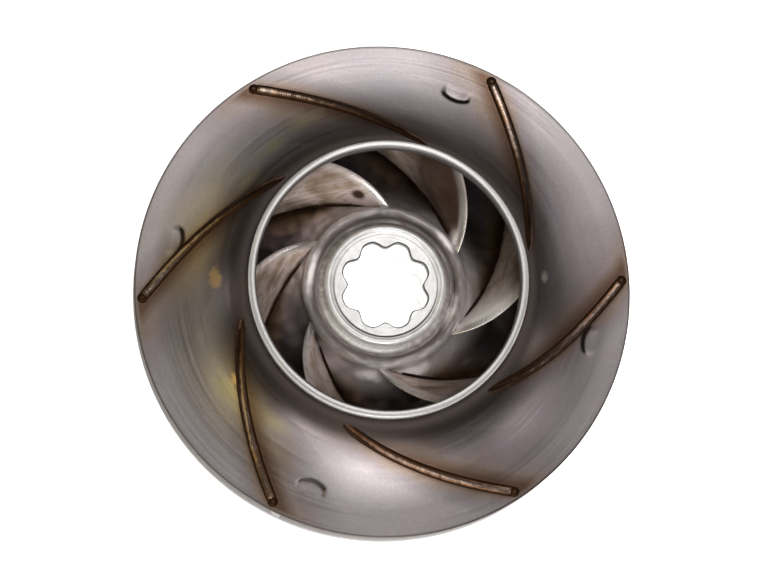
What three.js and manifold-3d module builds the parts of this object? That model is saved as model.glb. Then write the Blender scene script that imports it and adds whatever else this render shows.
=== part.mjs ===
// Closed impeller of a multistage pump, pressed and welded from stainless sheet.
// Millimetres, +Z towards the suction side. The origin is the middle of the hub's rear face.

import * as THREE from 'three';
import { mergeVertices } from 'three/addons/utils/BufferGeometryUtils.js';
import Module from 'manifold-3d';

const wasm = await Module();
wasm.setup();

// Driving dimensions
const OUTER_RADIUS = 65;
const SHEET = 1.5;
const FIT_GAP = 0.3;
const HUB_PROUD = 1.2;
const OUTLET_WIDTH = 9;
const OVERALL_HEIGHT = 31;

const NECK_RADIUS = 36.1;
const NECK_WALL = 2;
const NECK_RING_HEIGHT = 3.4;
const NECK_CHAMFER = 0.4;
const COLLAR_STEP = 0.2;

const SHROUD_SLOPE = THREE.MathUtils.degToRad(4);
const FLARE_RADIUS = 61;
const FLARE_EASE = 13;
const FLARE_DROP = 8;

const PLATE_FLAT_RADIUS = 44;
const PLATE_EASE = 10;
const CONE_TOP_RADIUS = 21.4;
const CONE_DROP = 5.5;
const CONE_LEAN = 1;
const SHOULDER_RADIUS = 1.5;
const SHOULDER_TOP = 17.2;
const GROOVE_DEPTH = 1.7;
const GROOVE_RADIUS = 18.2;

const HUB_RADIUS = 15.8;
const HUB_HEIGHT = 20.7;
const HUB_EDGE = 1.5;
const HUB_REAR_CHAMFER = 0.5;

const SPLINE_TEETH = 8;
const SPLINE_MAJOR = 11.6;
const SPLINE_MINOR = 9.75;
const SPLINE_SHARPNESS = 1.6;
const BORE_OVERCUT = 1;

const VANES = 6;
const FIRST_VANE_ANGLE = THREE.MathUtils.degToRad(5.2);
const RIM_BLADE_ANGLE = THREE.MathUtils.degToRad(42);
const SHROUD_EYE_ANGLE = THREE.MathUtils.degToRad(24);
const PLATE_EYE_ANGLE = THREE.MathUtils.degToRad(35.5);
const VANE_TOP = 24.5;
const VANE_TIP = 15.7;

const BEAD_WIDTH = 2.6;
const BEAD_HEIGHT = 0.6;
const BEAD_EDGE = 0.15;
const BEAD_OUTER_RADIUS = 62.6;
const FRONT_BEAD_INNER_RADIUS = 36.8;
const BACK_BEAD_INNER_RADIUS = 36;
const HUB_BEAD_WIDTH = 1.5;
const HUB_BEAD_HEIGHT = 1.1;

// Fineness of the facets
const ROUND_STEPS = 72;
const HUB_STEPS = 64;
const CURVE_STEPS = 9;
const SPLINE_STEPS = 8;
const VANE_STATIONS = 18;
const VANE_ROWS = 3;
const BEAD_STATIONS = 14;
const BEAD_ROWS = 4;
const PATH_POINTS = 200;
const MERGE_DISTANCE = 1e-4;

// Heights that follow from them
const PLATE_TOP = HUB_PROUD + SHEET;
const RIM_INSIDE = PLATE_TOP + OUTLET_WIDTH;
const COLLAR_TOP = OVERALL_HEIGHT - NECK_RING_HEIGHT;
const COLLAR_INSIDE = NECK_RADIUS - NECK_WALL + COLLAR_STEP;

// The two edges of a vane. Both leave the rim at the same angle and lie flatter towards the eye.
const SHROUD_EDGE = { eyeRadius: COLLAR_INSIDE, eyeAngle: SHROUD_EYE_ANGLE };
const PLATE_EDGE = { eyeRadius: CONE_TOP_RADIUS, eyeAngle: PLATE_EYE_ANGLE };

// Profiles are lists of points (radius, height) in the plane of the axis.

// Moves a profile sideways: a positive distance goes to the left of its direction.
function offsetProfile(points, distance) {
  return points.map((point, i) => {
    const before = points[Math.max(i - 1, 0)];
    const after = points[Math.min(i + 1, points.length - 1)];
    const along = after.clone().sub(before).normalize();
    return new THREE.Vector2(point.x - along.y * distance, point.y + along.x * distance);
  });
}

// Inner face of the shroud, from the rim to the top of its collar.
function shroudInside() {
  const flareHeight = RIM_INSIDE + (OUTER_RADIUS - FLARE_RADIUS) * Math.tan(SHROUD_SLOPE);
  const easeHeight = flareHeight + FLARE_EASE * Math.tan(SHROUD_SLOPE);
  const path = new THREE.Path();
  path.moveTo(OUTER_RADIUS, RIM_INSIDE);
  path.lineTo(FLARE_RADIUS, flareHeight);
  path.bezierCurveTo(
    FLARE_RADIUS - FLARE_EASE, easeHeight,
    COLLAR_INSIDE, COLLAR_TOP - FLARE_DROP,
    COLLAR_INSIDE, COLLAR_TOP,
  );
  return path;
}

// Front face of the back plate, from the rim up the cone to the foot of the shoulder.
function plateFront() {
  const path = new THREE.Path();
  path.moveTo(OUTER_RADIUS, PLATE_TOP);
  path.lineTo(PLATE_FLAT_RADIUS, PLATE_TOP);
  path.bezierCurveTo(
    PLATE_FLAT_RADIUS - PLATE_EASE, PLATE_TOP,
    CONE_TOP_RADIUS + CONE_LEAN, SHOULDER_TOP - SHOULDER_RADIUS - CONE_DROP,
    CONE_TOP_RADIUS, SHOULDER_TOP - SHOULDER_RADIUS,
  );
  return path;
}

// Points of an arc about a middle, at the given angles in degrees.
function arc(radius, height, across, up, angles) {
  return angles.map(THREE.MathUtils.degToRad).map((angle) => (
    new THREE.Vector2(radius + across * Math.cos(angle), height + up * Math.sin(angle))));
}

// Turns a closed profile about the Z axis. Its points have to run anticlockwise.
function turned(profile, steps) {
  const ordered = THREE.ShapeUtils.isClockWise(profile) ? [...profile].reverse() : profile;
  const geometry = new THREE.LatheGeometry([...ordered, ordered[0]], steps);
  return geometry.rotateX(Math.PI / 2);
}

function signedVolume(positions, index) {
  const a = new THREE.Vector3();
  const b = new THREE.Vector3();
  const c = new THREE.Vector3();
  let sum = 0;
  for (let i = 0; i < index.length; i += 3) {
    a.fromArray(positions, index[i] * 3);
    b.fromArray(positions, index[i + 1] * 3);
    c.fromArray(positions, index[i + 2] * 3);
    sum += a.dot(b.cross(c)) / 6;
  }
  return sum;
}

// A closed body between two like grids of points, with walls round its four sides.
function bodyBetween(lower, upper) {
  const stations = lower.length;
  const rows = lower[0].length;
  const positions = [...lower.flat(), ...upper.flat()].flatMap((point) => point.toArray());
  const low = (i, j) => i * rows + j;
  const high = (i, j) => stations * rows + i * rows + j;
  const index = [];
  const quad = (a, b, c, d) => index.push(a, b, c, a, c, d);
  for (let i = 0; i < stations - 1; i += 1) {
    for (let j = 0; j < rows - 1; j += 1) {
      quad(low(i, j), low(i, j + 1), low(i + 1, j + 1), low(i + 1, j));
      quad(high(i, j), high(i + 1, j), high(i + 1, j + 1), high(i, j + 1));
    }
    quad(low(i, 0), low(i + 1, 0), high(i + 1, 0), high(i, 0));
    quad(low(i, rows - 1), high(i, rows - 1), high(i + 1, rows - 1), low(i + 1, rows - 1));
  }
  for (let j = 0; j < rows - 1; j += 1) {
    quad(low(0, j), high(0, j), high(0, j + 1), low(0, j + 1));
    quad(low(stations - 1, j), low(stations - 1, j + 1), high(stations - 1, j + 1), high(stations - 1, j));
  }
  if (signedVolume(positions, index) < 0) index.reverse();
  const geometry = new THREE.BufferGeometry();
  geometry.setAttribute('position', new THREE.Float32BufferAttribute(positions, 3));
  geometry.setIndex(index);
  return geometry;
}

function solid(geometry) {
  const bare = geometry.clone();
  bare.deleteAttribute('normal');
  bare.deleteAttribute('uv');
  const merged = mergeVertices(bare, MERGE_DISTANCE);
  return new wasm.Manifold(new wasm.Mesh({
    numProp: 3,
    vertProperties: new Float32Array(merged.attributes.position.array),
    triVerts: new Uint32Array(merged.index.array),
  }));
}

function geometryOf(manifold) {
  const mesh = manifold.getMesh();
  const geometry = new THREE.BufferGeometry();
  geometry.setAttribute('position', new THREE.BufferAttribute(mesh.vertProperties, 3));
  geometry.setIndex(new THREE.BufferAttribute(mesh.triVerts, 1));
  return geometry;
}

// The line of a vane along a profile, rim first. Its angle to the circumference changes evenly with
// the radius, and it turns by (length along the profile) / (radius * tan(angle)).
function bladeLine(profile, { eyeRadius, eyeAngle }) {
  let turn = 0;
  return profile.map((point, i) => {
    if (i > 0) {
      const last = profile[i - 1];
      const radius = (point.x + last.x) / 2;
      const share = (radius - eyeRadius) / (OUTER_RADIUS - eyeRadius);
      const angle = THREE.MathUtils.lerp(eyeAngle, RIM_BLADE_ANGLE, share);
      turn -= point.distanceTo(last) / (radius * Math.tan(angle));
    }
    return { radius: point.x, height: point.y, turn };
  });
}

// Evenly spaced points of a profile up to the given height.
function spacedUpTo(path, height, count) {
  const fine = path.getSpacedPoints(PATH_POINTS).filter((point) => point.y <= height);
  return Array.from({ length: count + 1 }, (_, i) => fine[Math.round(i * (fine.length - 1) / count)]);
}

function onCylinder(radius, turn, height) {
  return new THREE.Vector3(radius * Math.cos(turn), radius * Math.sin(turn), height);
}

// The front shroud: one pressed disc, flared up to a collar for the neck ring.
function shroudGeometry() {
  const inside = shroudInside().getPoints(CURVE_STEPS);
  const outside = offsetProfile(inside, -SHEET);
  outside[0] = new THREE.Vector2(OUTER_RADIUS, inside[0].y + SHEET / Math.cos(SHROUD_SLOPE));
  outside[outside.length - 1].set(COLLAR_INSIDE + SHEET, COLLAR_TOP);
  return turned([...inside, ...outside.reverse()], ROUND_STEPS);
}

// The neck ring: turned, with its front edges broken.
function neckRingGeometry() {
  const inside = NECK_RADIUS - NECK_WALL;
  return turned([
    new THREE.Vector2(inside, COLLAR_TOP),
    new THREE.Vector2(NECK_RADIUS, COLLAR_TOP),
    new THREE.Vector2(NECK_RADIUS, OVERALL_HEIGHT - NECK_CHAMFER),
    new THREE.Vector2(NECK_RADIUS - NECK_CHAMFER, OVERALL_HEIGHT),
    new THREE.Vector2(inside + NECK_CHAMFER, OVERALL_HEIGHT),
    new THREE.Vector2(inside, OVERALL_HEIGHT - NECK_CHAMFER),
  ], ROUND_STEPS);
}

// The back plate: flat to the rim, drawn up to a cone with a round shoulder, and turned in to the hub.
function backPlateGeometry() {
  const front = plateFront().getPoints(CURVE_STEPS);
  const rear = offsetProfile(front, SHEET);
  rear[0] = new THREE.Vector2(OUTER_RADIUS, HUB_PROUD);
  const shoulder = arc(
    CONE_TOP_RADIUS - SHOULDER_RADIUS, SHOULDER_TOP - SHOULDER_RADIUS,
    SHOULDER_RADIUS, SHOULDER_RADIUS, [135, 90, 45]);
  const grooveHeight = SHOULDER_TOP - GROOVE_DEPTH;
  const boreRadius = HUB_RADIUS + FIT_GAP;
  return turned([
    ...rear,
    new THREE.Vector2(GROOVE_RADIUS, grooveHeight - SHEET),
    new THREE.Vector2(boreRadius, grooveHeight - SHEET),
    new THREE.Vector2(boreRadius, grooveHeight),
    new THREE.Vector2(GROOVE_RADIUS, grooveHeight),
    ...shoulder,
    ...front.reverse(),
  ], ROUND_STEPS);
}

// Outline of the splined bore: round teeth that point at the axis.
function splineShape() {
  const count = SPLINE_TEETH * SPLINE_STEPS;
  return new THREE.Shape(Array.from({ length: count }, (_, i) => {
    const angle = 2 * Math.PI * i / count;
    const tooth = ((1 + Math.cos(SPLINE_TEETH * angle)) / 2) ** SPLINE_SHARPNESS;
    const radius = SPLINE_MAJOR - (SPLINE_MAJOR - SPLINE_MINOR) * tooth;
    return new THREE.Vector2(radius * Math.cos(angle), radius * Math.sin(angle));
  }));
}

// The hub: a turned boss with a round front edge, broached with the spline.
function hubGeometry() {
  const boss = new THREE.LatheGeometry([
    new THREE.Vector2(0, 0),
    new THREE.Vector2(HUB_RADIUS - HUB_REAR_CHAMFER, 0),
    new THREE.Vector2(HUB_RADIUS, HUB_REAR_CHAMFER),
    ...arc(HUB_RADIUS - HUB_EDGE, HUB_HEIGHT - HUB_EDGE, HUB_EDGE, HUB_EDGE, [0, 30, 60, 90]),
    new THREE.Vector2(0, HUB_HEIGHT),
  ], HUB_STEPS).rotateX(Math.PI / 2);
  const bore = new THREE.ExtrudeGeometry(
    splineShape(), { depth: HUB_HEIGHT + 2 * BORE_OVERCUT, bevelEnabled: false });
  bore.translate(0, 0, -BORE_OVERCUT);
  return geometryOf(solid(boss).subtract(solid(bore)));
}

// A vane: sheet between its line on the back plate and its line under the shroud. The sheet's
// two faces are shifted round the axis, so both edges keep their clearance to the round parts.
function vaneGeometry() {
  const plateLine = bladeLine(
    offsetProfile(spacedUpTo(plateFront(), VANE_TIP, VANE_STATIONS), -FIT_GAP), PLATE_EDGE);
  const shroudLine = bladeLine(
    offsetProfile(spacedUpTo(shroudInside(), VANE_TOP, VANE_STATIONS), FIT_GAP), SHROUD_EDGE);
  const middle = (i, j) => {
    const foot = plateLine[i];
    const head = shroudLine[i];
    const share = j / VANE_ROWS;
    return {
      radius: THREE.MathUtils.lerp(foot.radius, head.radius, share),
      turn: THREE.MathUtils.lerp(foot.turn, head.turn, share),
      height: THREE.MathUtils.lerp(foot.height, head.height, share),
    };
  };
  const at = (i, j, shift = 0) => {
    const point = middle(i, j);
    return onCylinder(point.radius, point.turn + shift, point.height);
  };
  const halfTurn = (i, j) => {
    const along = at(Math.min(i + 1, VANE_STATIONS), j).sub(at(Math.max(i - 1, 0), j));
    const across = at(i, Math.min(j + 1, VANE_ROWS)).sub(at(i, Math.max(j - 1, 0)));
    const normal = along.cross(across).normalize();
    const { radius, turn } = middle(i, j);
    const round = new THREE.Vector3(-Math.sin(turn), Math.cos(turn), 0);
    return SHEET / 2 / (radius * Math.abs(normal.dot(round)));
  };
  const face = (side) => Array.from({ length: VANE_STATIONS + 1 }, (_, i) => (
    Array.from({ length: VANE_ROWS + 1 }, (__, j) => at(i, j, side * halfTurn(i, j)))));
  return bodyBetween(face(-1), face(1));
}

// A weld bead: a low arch along a vane's line, on the outer face of the sheet that it is welded
// through. The outward side is +1 on the shroud and -1 on the back plate.
function beadGeometry(path, edge, side, innerRadius) {
  const line = bladeLine(path.getSpacedPoints(PATH_POINTS), edge)
    .filter((point) => point.radius <= BEAD_OUTER_RADIUS && point.radius >= innerRadius);
  const stations = Array.from({ length: BEAD_STATIONS + 1 }, (_, i) => (
    line[Math.round(i * (line.length - 1) / BEAD_STATIONS)]));
  const row = (height) => stations.map((point, i) => {
    const before = stations[Math.max(i - 1, 0)];
    const after = stations[Math.min(i + 1, BEAD_STATIONS)];
    const here = onCylinder(point.radius, point.turn, point.height);
    const along = onCylinder(after.radius, after.turn, after.height)
      .sub(onCylinder(before.radius, before.turn, before.height)).normalize();
    const slope = Math.atan2(before.height - after.height, before.radius - after.radius);
    const outward = new THREE.Vector3(
      -Math.sin(slope) * Math.cos(point.turn), -Math.sin(slope) * Math.sin(point.turn), Math.cos(slope),
    ).multiplyScalar(side);
    const aside = outward.clone().cross(along).normalize();
    return Array.from({ length: BEAD_ROWS + 1 }, (__, j) => {
      const share = 2 * j / BEAD_ROWS - 1;
      return here.clone()
        .addScaledVector(aside, share * BEAD_WIDTH / 2)
        .addScaledVector(outward, SHEET + FIT_GAP + height(share));
    });
  });
  return bodyBetween(row(() => 0), row((share) => BEAD_EDGE + (BEAD_HEIGHT - BEAD_EDGE) * (1 - share ** 2)));
}

// The ring weld in the groove between hub and back plate.
function hubWeldGeometry() {
  const inside = HUB_RADIUS + FIT_GAP;
  const floor = SHOULDER_TOP - GROOVE_DEPTH + FIT_GAP;
  return turned([
    new THREE.Vector2(inside, floor),
    ...arc(inside, floor, HUB_BEAD_WIDTH, HUB_BEAD_HEIGHT, [0, 30, 60, 90]),
  ], HUB_STEPS);
}

const impeller = new THREE.Group();

function add(name, geometry, finish, turn = 0) {
  const mesh = new THREE.Mesh(geometry, new THREE.MeshStandardMaterial(finish));
  mesh.name = name;
  mesh.rotation.z = turn;
  impeller.add(mesh);
}

const SATIN = { color: 0xa39a97, roughness: 0.38, metalness: 1 };
const TURNED = { color: 0xdedad8, roughness: 0.25, metalness: 1 };
const VANE_STEEL = { color: 0x8a7c74, roughness: 0.42, metalness: 1 };
const TINTED_WELD = { color: 0x6b3d1f, roughness: 0.45, metalness: 1 };

add('front_shroud', shroudGeometry(), SATIN);
add('neck_ring', neckRingGeometry(), TURNED);
add('back_plate', backPlateGeometry(), SATIN);
add('hub', hubGeometry(), TURNED);
for (let i = 0; i < VANES; i += 1) {
  const turn = FIRST_VANE_ANGLE + 2 * Math.PI * i / VANES;
  add(`vane_${i + 1}`, vaneGeometry(), VANE_STEEL, turn);
  add(`front_weld_${i + 1}`,
    beadGeometry(shroudInside(), SHROUD_EDGE, 1, FRONT_BEAD_INNER_RADIUS), TINTED_WELD, turn);
  add(`back_weld_${i + 1}`,
    beadGeometry(plateFront(), PLATE_EDGE, -1, BACK_BEAD_INNER_RADIUS), TINTED_WELD, turn);
}
add('hub_weld', hubWeldGeometry(), TINTED_WELD);

export default impeller;
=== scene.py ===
import math

import bpy
import numpy as np
from mathutils import Matrix, Vector


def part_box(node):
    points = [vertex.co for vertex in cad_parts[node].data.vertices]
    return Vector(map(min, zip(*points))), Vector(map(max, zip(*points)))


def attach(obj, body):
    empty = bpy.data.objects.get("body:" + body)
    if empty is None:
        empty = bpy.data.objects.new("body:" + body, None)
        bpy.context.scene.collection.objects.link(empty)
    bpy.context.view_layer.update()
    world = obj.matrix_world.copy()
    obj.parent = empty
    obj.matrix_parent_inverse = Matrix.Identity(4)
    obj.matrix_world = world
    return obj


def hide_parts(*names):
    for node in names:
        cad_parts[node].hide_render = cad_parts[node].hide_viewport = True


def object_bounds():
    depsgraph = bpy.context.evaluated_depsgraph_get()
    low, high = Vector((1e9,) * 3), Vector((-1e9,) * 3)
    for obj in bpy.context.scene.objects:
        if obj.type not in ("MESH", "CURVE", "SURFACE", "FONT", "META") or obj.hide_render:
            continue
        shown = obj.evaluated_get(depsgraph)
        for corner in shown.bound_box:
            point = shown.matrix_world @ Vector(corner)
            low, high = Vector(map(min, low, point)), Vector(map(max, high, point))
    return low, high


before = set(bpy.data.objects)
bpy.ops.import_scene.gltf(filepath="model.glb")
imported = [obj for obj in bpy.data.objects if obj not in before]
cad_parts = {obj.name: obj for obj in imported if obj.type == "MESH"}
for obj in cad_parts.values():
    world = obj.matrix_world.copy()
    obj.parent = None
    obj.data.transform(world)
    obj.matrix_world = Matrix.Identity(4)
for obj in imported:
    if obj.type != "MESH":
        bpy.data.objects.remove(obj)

cad_low, cad_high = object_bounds()


# Hub: a turned stainless boss, broached with eight round teeth for the shaft. Its front edge is
# rounded, with a fine gutter inside it, and the mouths of the bore are broken. It is slid into
# the back plate and welded there.
HUB_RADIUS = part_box("hub")[1].x
HUB_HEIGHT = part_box("hub")[1].z
HUB_CHAMFER = 0.0005
BORE_CHAMFER = 0.0003
BORE_DARK = 0.0022
BORE_PLAIN = BORE_DARK * 1.6
BORE_LEVELS = 11
SPLINE_TEETH = 8
SPLINE_MAJOR = 0.0116
SPLINE_MINOR = 0.00975
SPLINE_SHARPNESS = 1.6
STEPS_PER_TOOTH = 36
HUB_FACE_RADIUS = 0.0136
HUB_FACE_DROP = 0.0002
HUB_RIM_SHARE = 0.45
GUTTER_OUTER = HUB_FACE_RADIUS + 0.0001
GUTTER_FLOOR = 0.0003
GUTTER_FALL = 0.0002
GUTTER_DEPTH = 0.00018
GUTTER_SHADE = 0.75
GUTTER_SWING = 0.2
BRIGHT_STEEL = (0.98, 0.97, 0.96, 1)
SHADED_STEEL = (0.82, 0.80, 0.79, 1)
EDGE_GREY = (0.06, 0.055, 0.055, 1)


def arc(middle, radius, first, last, count):
    """Points (radius, height) of an arc round a middle, angles in degrees."""
    angles = np.radians(np.linspace(first, last, count))
    return [(middle[0] + radius * math.cos(a), middle[1] + radius * math.sin(a)) for a in angles]


def stand(name, data):
    """Puts a mesh, a lamp or a camera into the scene as an object."""
    made = bpy.data.objects.new(name, data)
    bpy.context.scene.collection.objects.link(made)
    return made


def note(mesh, name, values):
    """Stores a number on each vertex of a mesh, under a name."""
    stored = mesh.attributes.new(name, "FLOAT", "POINT")
    stored.data.foreach_set("value", np.asarray(values, dtype=float).reshape(-1))


def skin(name, rings, steps):
    """A closed skin through rings round the axis, each (radius, height). The last meets the first."""
    turns = np.linspace(0, 2 * math.pi, steps, endpoint=False)
    grid = np.empty((len(rings), steps, 3))
    for ring, (radius, height) in zip(grid, rings):
        ring[:, 0] = radius * np.cos(turns)
        ring[:, 1] = radius * np.sin(turns)
        ring[:, 2] = height
    own = np.arange(len(rings) * steps).reshape(len(rings), steps)
    above = np.roll(own, -1, 0)
    faces = np.stack([own, np.roll(own, -1, 1), np.roll(above, -1, 1), above], -1).reshape(-1, 4)
    points = grid.reshape(-1, 3)
    a, b, c, d = (points[faces[:, k]] for k in range(4))
    volume = np.sum(a * np.cross(b, c)) + np.sum(a * np.cross(c, d))
    around = np.arange(steps)
    lengths = np.linalg.norm(np.diff(grid[:, 0], axis=0, append=grid[:1, 0]), axis=1)
    along = np.concatenate([[0], np.cumsum(lengths)])
    u = np.stack([around, around + 1, around + 1, around], -1) / steps
    v = np.stack([along[:-1], along[:-1], along[1:], along[1:]], -1)
    uv = np.empty((len(rings), steps, 4, 2))
    uv[..., 0] = u[None]
    uv[..., 1] = v[:, None]
    uv = uv.reshape(-1, 4, 2)
    if volume < 0:
        faces = faces[:, ::-1]
        uv = uv[:, ::-1]
    mesh = bpy.data.meshes.new(name)
    mesh.from_pydata(points.tolist(), [], faces.tolist())
    layer = mesh.uv_layers.new(name="around")
    layer.data.foreach_set("uv", uv.reshape(-1))
    mesh.shade_smooth()
    mesh.set_sharp_from_angle(angle=math.radians(40))
    return stand(name, mesh)


def wire(tree, kind, inputs=None, **settings):
    """Adds a node, changes its settings, and sets or links its inputs by name or number."""
    made = tree.nodes.new(kind)
    for key, value in settings.items():
        setattr(made, key, value)
    for key, value in (inputs or {}).items():
        if isinstance(value, bpy.types.NodeSocket):
            tree.links.new(value, made.inputs[key])
        else:
            made.inputs[key].default_value = value
    return made


def worked(tree, operation, *values):
    """The outcome of one sum with one to three values, by the name of the operation."""
    return wire(tree, "ShaderNodeMath", dict(enumerate(values)), operation=operation).outputs[0]


def mixed(tree, share, first, second):
    """The colour between two colours, by a share from 0 to 1."""
    return wire(tree, "ShaderNodeMix", {0: share, 6: first, 7: second}, data_type="RGBA").outputs[2]


def ramp(tree, share, *stops):
    """A colour read off a ramp of (place, colour) stops."""
    node = wire(tree, "ShaderNodeValToRGB", {0: share})
    elements = node.color_ramp.elements
    while len(elements) < len(stops):
        elements.new(0.5)
    for element, (place, colour) in zip(elements, stops):
        element.position = place
        element.color = colour
    return node.outputs["Color"]


def ranged(tree, value, low, high, to_low=0.0, to_high=1.0):
    """A value carried from one range to another, held at its ends."""
    node = wire(tree, "ShaderNodeMapRange", {0: value, 1: low, 2: high, 3: to_low, 4: to_high})
    return node.outputs[0]


def noise(tree, place, scale, detail=3.0):
    """Soft irregular noise, mostly between 0.3 and 0.7."""
    values = {"Vector": place, "Scale": scale, "Detail": detail, "Roughness": 0.55}
    return wire(tree, "ShaderNodeTexNoise", values).outputs["Fac"]


def spread(tree, cloud, low=0.0, high=1.0):
    """Soft noise spread over another range."""
    return ranged(tree, cloud, 0.3, 0.7, low, high)


def object_place(tree):
    """The place on a piece, in metres in the shared frame."""
    return wire(tree, "ShaderNodeTexCoord").outputs["Object"]


def coordinate(tree, place, axis):
    """One of the three numbers of a place."""
    return wire(tree, "ShaderNodeSeparateXYZ", {0: place}).outputs[axis]


def noted(tree, name):
    """A number that was stored on the vertices, read by a material."""
    return wire(tree, "ShaderNodeAttribute", attribute_name=name).outputs["Fac"]


def distance_from_axis(tree, place, square_to=(1, 1, 0)):
    """How far a place lies from the shaft's axis, or from the axis that square_to leaves out."""
    flat = wire(tree, "ShaderNodeVectorMath", {0: place, 1: square_to}, operation="MULTIPLY").outputs[0]
    return wire(tree, "ShaderNodeVectorMath", {0: flat}, operation="LENGTH").outputs["Value"]


def lathe_lines(tree, place, spacing):
    """Fine noise in rings round the axis, as a lathe tool or a spun polish leaves it."""
    radius = distance_from_axis(tree, place)
    height = coordinate(tree, place, "Z")
    across = worked(tree, "ADD", radius, height)
    scaled = worked(tree, "MULTIPLY", across, 1 / spacing)
    outward = wire(tree, "ShaderNodeVectorMath", {0: place}, operation="NORMALIZE").outputs[0]
    ways = {0: coordinate(tree, outward, "X"), 1: coordinate(tree, outward, "Y"), 2: scaled}
    return noise(tree, wire(tree, "ShaderNodeCombineXYZ", ways).outputs[0], 1.0, detail=4)


def bare_steel(name, roughness, brushed=0.0, metal=1.0):
    """A steel surface, its tree and shader, and the place on the piece. Brush marks lie round the
    axis."""
    material = bpy.data.materials.new(name)
    material.use_nodes = True
    tree = material.node_tree
    shader = tree.nodes["Principled BSDF"]
    shader.inputs["Metallic"].default_value = metal
    shader.inputs["Roughness"].default_value = roughness
    if brushed:
        shader.inputs["Anisotropic"].default_value = brushed
        shader.inputs["Anisotropic Rotation"].default_value = 0.25
        tangent = wire(tree, "ShaderNodeTangent", direction_type="UV_MAP", uv_map="around")
        tree.links.new(tangent.outputs[0], shader.inputs["Tangent"])
    return material, tree, shader, object_place(tree)


def coat(tree, shader, colour, roughness=None, metallic=None):
    """Leads a colour into a shader, and the roughness and the metal's share where they vary."""
    for name, value in (("Base Color", colour), ("Roughness", roughness), ("Metallic", metallic)):
        if value is not None:
            tree.links.new(value, shader.inputs[name])


def bumped(tree, shader, height, distance):
    """Lets a height from 0 to 1 show as relief of a depth in metres."""
    bump = wire(tree, "ShaderNodeBump", {"Height": height, "Distance": distance, "Strength": 1.0})
    tree.links.new(bump.outputs[0], shader.inputs["Normal"])


def place_piece(piece, material, slot, *nodes):
    """Gives a finished piece its material and its place in the frame."""
    piece.data.materials.clear()
    piece.data.materials.append(material)
    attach(piece, "root")
    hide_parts(*nodes)


def spline_radius(turns):
    """The radius of the bore at turns round the axis, with a tooth where each turn begins."""
    tooth = ((1 + np.cos(SPLINE_TEETH * turns)) / 2) ** SPLINE_SHARPNESS
    return SPLINE_MAJOR - (SPLINE_MAJOR - SPLINE_MINOR) * tooth


hub_steps = SPLINE_TEETH * STEPS_PER_TOOTH
hub_turns = np.linspace(0, 2 * math.pi, hub_steps, endpoint=False)
bore = spline_radius(hub_turns)
front_face = HUB_HEIGHT - HUB_FACE_DROP
rim_round = (HUB_RADIUS - HUB_FACE_RADIUS) * HUB_RIM_SHARE
hub_rim = arc((HUB_RADIUS - rim_round, HUB_HEIGHT - rim_round), rim_round, 145, 0, 16)
hub_rings = [(bore, z) for z in np.linspace(BORE_CHAMFER, front_face - BORE_PLAIN, BORE_LEVELS)]
hub_rings += [
    (bore, front_face - BORE_DARK),
    (bore, front_face - BORE_CHAMFER),
    (bore + BORE_CHAMFER, front_face),
    (bore + BORE_CHAMFER * 1.4, front_face),
    (GUTTER_OUTER - GUTTER_FLOOR - GUTTER_FALL, front_face),
    (GUTTER_OUTER - GUTTER_FLOOR, front_face - GUTTER_DEPTH),
    (GUTTER_OUTER, front_face - GUTTER_DEPTH),
    *hub_rim,
    (HUB_RADIUS, HUB_HEIGHT / 2),
    (HUB_RADIUS, HUB_CHAMFER),
    (HUB_RADIUS - HUB_CHAMFER * 0.3, HUB_CHAMFER * 0.3),
    (HUB_RADIUS - HUB_CHAMFER, 0),
    (bore + BORE_CHAMFER, 0),
]
hub = skin("splined_hub", hub_rings, hub_steps)
# Painted shade: the mouths of the bore and the gutter are coloured dark, the gutter darker on the -Y side.
edge = np.zeros((len(hub_rings), hub_steps))
edge[BORE_LEVELS:BORE_LEVELS + 3] = 1
edge[BORE_LEVELS + 5:BORE_LEVELS + 7] = GUTTER_SHADE - GUTTER_SWING * np.sin(hub_turns)
edge[[0, -1]] = 1
note(hub.data, "shaded_edge", edge)

material, tree, shader, place = bare_steel("turned hub steel", 0.3, brushed=0.3, metal=0.65)
lines = lathe_lines(tree, place, 0.00012)
cloud = noise(tree, place, 420, detail=5)
colour = mixed(tree, ranged(tree, cloud, 0.35, 0.7), SHADED_STEEL, BRIGHT_STEEL)
colour = mixed(tree, ranged(tree, noted(tree, "shaded_edge"), 0.5, 0.9), colour, EDGE_GREY)
coat(tree, shader, colour, spread(tree, lines, 0.24, 0.4))
bumped(tree, shader, lines, 0.00002)
place_piece(hub, material, "hub_steel", "hub")


# Back plate: one disc of 1.5 mm stainless sheet, drawn up to a cone round the hub, with a round
# shoulder and a groove where the ring weld lies. The six vanes are welded through it from behind.
SHEET = 0.0015
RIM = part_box("back_plate")[1].x
PLATE_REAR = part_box("back_plate")[0].z
PLATE_FRONT = PLATE_REAR + SHEET
PLATE_FLAT = 0.044
PLATE_EASE = 0.010
CONE_TOP = 0.0214
CONE_LEAN = 0.001
CONE_DROP = 0.0055
SHOULDER_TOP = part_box("back_plate")[1].z
SHOULDER_ROUND = 0.0015
GROOVE_DEPTH = 0.0017
GROOVE_RADIUS = 0.0182
GROOVE_FOOT = [(0.0002, 0.0004), (-0.0001, 0.0001), (-0.0005, 0)]
RIM_ROUND = 0.00025
RIM_ROUND_STEPS = 5
ROUND_STEPS = 480
VANES = 6
FIRST_VANE = math.radians(5.2)
RIM_BLADE_ANGLE = math.radians(42)
PLATE_EDGE = (CONE_TOP, math.radians(35.5))
SEAM_OUTER = 0.0631
BACK_SEAM_INNER = 0.036
TOE_FADE = (0.0012, 0.0028)
HEAT_WIDE_SIDE = 0.6
HEAT_NARROW_SIDE = 1.15
PLATE_HEAT = 0.005
PLATE_STRAY = 0.0012
ROOT_INNER = 0.0221
PLATE_COLOUR = (0.25, 0.22, 0.21, 1)
PLATE_LIGHT = (0.44, 0.40, 0.39, 1)
SHOULDER_COLOUR = (0.64, 0.585, 0.58, 1)
GROOVE_SHADE_COLOUR = (0.27, 0.235, 0.225, 1)
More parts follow.
